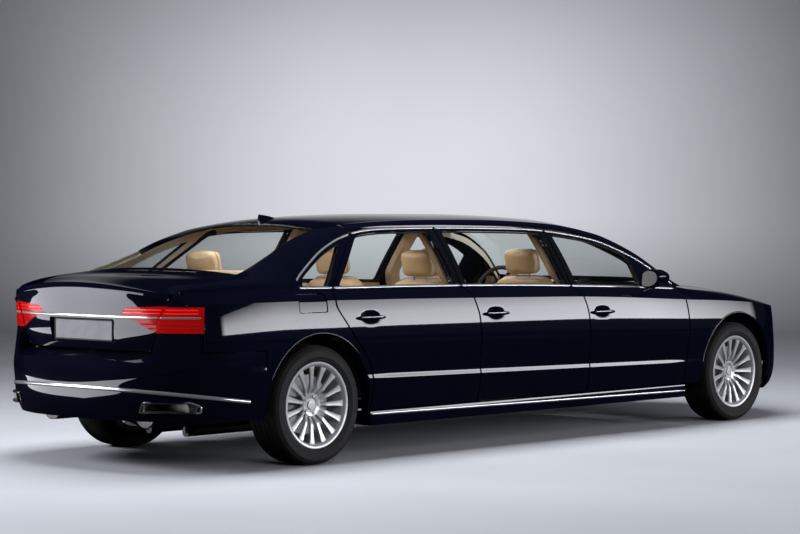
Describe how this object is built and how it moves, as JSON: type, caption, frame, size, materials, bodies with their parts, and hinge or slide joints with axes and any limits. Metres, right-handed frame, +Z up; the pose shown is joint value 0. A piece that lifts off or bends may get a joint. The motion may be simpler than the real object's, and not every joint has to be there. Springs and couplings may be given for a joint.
{
  "type": "stretch limousine",
  "caption": "Stretched saloon limousine with a long hollow cabin, opening side doors, bonnet, boot lid and filler flap, on steered front wheels.",
  "frame": {"origin": "on the ground under the middle of the bounding box", "axes": "+X towards the nose, +Y towards the car's left side, +Z up"},
  "size_m": [6.36, 2.2, 1.491],
  "materials": {
    "paint": "gloss",
    "glass": "gloss",
    "wheel_alloy": "satin",
    "tyre_rubber": "matt",
    "lamp_red": "gloss",
    "lamp_clear": "gloss",
    "seat_leather": "satin",
    "shelf_trim": "matt",
    "dark_trim": "matt",
    "console_trim": "satin",
    "underbody": "matt",
    "exhaust_steel": "satin"
  },
  "bodies": {
    "body": {"floor_pan": "underbody", "boot_floor": "underbody", "side_frames": "paint", "quarter_panels": "glass", "roof": "paint", "fixed_glass": "glass", "front_wings": "paint", "front_bumper": "paint", "rear_bumper": "paint", "grille": "dark_trim", "headlamps": "lamp_clear", "tail_lamps": "lamp_red", "cowl": "dark_trim", "wheelhouses": "dark_trim", "parcel_shelf": "shelf_trim", "front_subframe": "underbody", "rear_axle": "underbody", "engine": "underbody", "exhaust": "exhaust_steel", "dashboard": "dark_trim", "console": "console_trim", "front_seats": "seat_leather", "rear_seats": "seat_leather"},
    "rear_door_l": {"rear_door_l": "paint", "rear_pane_l": "glass"},
    "middle_door_l": {"middle_door_l": "paint", "middle_pane_l": "glass"},
    "front_door_l": {"front_door_l": "paint", "front_pane_l": "glass", "mirror_l": "paint"},
    "rear_door_r": {"rear_door_r": "paint", "rear_pane_r": "glass"},
    "middle_door_r": {"middle_door_r": "paint", "middle_pane_r": "glass"},
    "front_door_r": {"front_door_r": "paint", "front_pane_r": "glass", "mirror_r": "paint"},
    "hood": {"hood": "paint"},
    "trunk_lid": {"trunk_lid": "paint", "lid_lamps": "lamp_red"},
    "fuel_flap": {"fuel_flap": "paint"},
    "knuckle_l": {"knuckle_l": "underbody"},
    "knuckle_r": {"knuckle_r": "underbody"},
    "wheel_fl": {"rim_fl": "wheel_alloy", "tyre_fl": "tyre_rubber"},
    "wheel_fr": {"rim_fr": "wheel_alloy", "tyre_fr": "tyre_rubber"},
    "wheel_rl": {"rim_rl": "wheel_alloy", "tyre_rl": "tyre_rubber"},
    "wheel_rr": {"rim_rr": "wheel_alloy", "tyre_rr": "tyre_rubber"},
    "steering_wheel": {"steering_wheel": "dark_trim"}
  },
  "joints": [
    {"name": "rear_door_l_hinge", "type": "hinge", "parent": "body", "child": "rear_door_l", "pos_m": [-0.71097, 0.95169, 0.69], "axis": [0, 0, -1], "range_deg": [0, 68]},
    {"name": "middle_door_l_hinge", "type": "hinge", "parent": "body", "child": "middle_door_l", "pos_m": [0.38821, 0.95226, 0.69], "axis": [0, 0, -1], "range_deg": [0, 68]},
    {"name": "front_door_l_hinge", "type": "hinge", "parent": "body", "child": "front_door_l", "pos_m": [1.50289, 0.94887, 0.69], "axis": [0, 0, -1], "range_deg": [0, 68]},
    {"name": "rear_door_r_hinge", "type": "hinge", "parent": "body", "child": "rear_door_r", "pos_m": [-0.71097, -0.95169, 0.69], "axis": [0, 0, 1], "range_deg": [0, 68]},
    {"name": "middle_door_r_hinge", "type": "hinge", "parent": "body", "child": "middle_door_r", "pos_m": [0.38821, -0.95226, 0.69], "axis": [0, 0, 1], "range_deg": [0, 68]},
    {"name": "front_door_r_hinge", "type": "hinge", "parent": "body", "child": "front_door_r", "pos_m": [1.50289, -0.94887, 0.69], "axis": [0, 0, 1], "range_deg": [0, 68]},
    {"name": "hood_hinge", "type": "hinge", "parent": "body", "child": "hood", "pos_m": [1.7, 0, 0.895], "axis": [0, -1, 0], "range_deg": [0, 55]},
    {"name": "trunk_lid_hinge", "type": "hinge", "parent": "body", "child": "trunk_lid", "pos_m": [-2.61, 0, 1.112], "axis": [0, 1, 0], "range_deg": [0, 80]},
    {"name": "fuel_flap_hinge", "type": "hinge", "parent": "body", "child": "fuel_flap", "pos_m": [-2.03, -0.93188, 0.949], "axis": [0, 0, 1], "range_deg": [0, 80]},
    {"name": "steer_l", "type": "hinge", "parent": "body", "child": "knuckle_l", "pos_m": [2.173, 0.762, 0.356], "axis": [0, 0, 1], "range_deg": [-35, 35]},
    {"name": "steer_r", "type": "hinge", "parent": "body", "child": "knuckle_r", "pos_m": [2.173, -0.762, 0.356], "axis": [0, 0, 1], "range_deg": [-35, 35]},
    {"name": "wheel_fl_spin", "type": "hinge", "parent": "knuckle_l", "child": "wheel_fl", "pos_m": [2.173, 0.822, 0.356], "axis": [0, 1, 0], "continuous": true},
    {"name": "wheel_fr_spin", "type": "hinge", "parent": "knuckle_r", "child": "wheel_fr", "pos_m": [2.173, -0.822, 0.356], "axis": [0, 1, 0], "continuous": true},
    {"name": "wheel_rl_spin", "type": "hinge", "parent": "body", "child": "wheel_rl", "pos_m": [-2.047, 0.8175, 0.356], "axis": [0, 1, 0], "continuous": true},
    {"name": "wheel_rr_spin", "type": "hinge", "parent": "body", "child": "wheel_rr", "pos_m": [-2.047, -0.8175, 0.356], "axis": [0, 1, 0], "continuous": true},
    {"name": "steering_wheel_turn", "type": "hinge", "parent": "body", "child": "steering_wheel", "pos_m": [1.075, 0.4, 0.935], "axis": [-0.9063, 0, 0.4226], "range_deg": [-490, 490]}
  ],
  "couplings": [
    {"joint": "steer_r", "follows": "steer_l", "ratio": 1},
    {"joint": "steering_wheel_turn", "follows": "steer_l", "ratio": 14}
  ]
}
